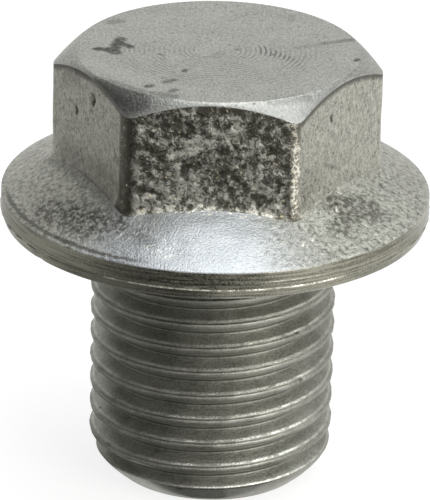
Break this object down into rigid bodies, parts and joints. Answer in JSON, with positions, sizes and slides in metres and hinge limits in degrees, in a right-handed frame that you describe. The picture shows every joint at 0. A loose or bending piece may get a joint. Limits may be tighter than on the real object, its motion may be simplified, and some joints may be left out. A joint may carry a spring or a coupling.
{
  "type": "oil drain plug",
  "caption": "Hexagon-head screw plug with a flat seating flange and a short right-hand thread, for closing the drain hole of an oil sump.",
  "frame": {"origin": "on the plug's axis, in the plane of the flange's underside, where the plug seats", "axes": "+Z along the axis from the threaded end towards the head; the hexagon has a flat to the front, -Y, and corners on +X and -X"},
  "size_m": [0.0204, 0.0204, 0.0214],
  "materials": {
    "plug_steel": "dull grey steel: forged slope and flats, turned head top and rim, cut thread"
  },
  "bodies": {
    "root": {"drain_plug": "plug_steel"}
  },
  "joints": []
}
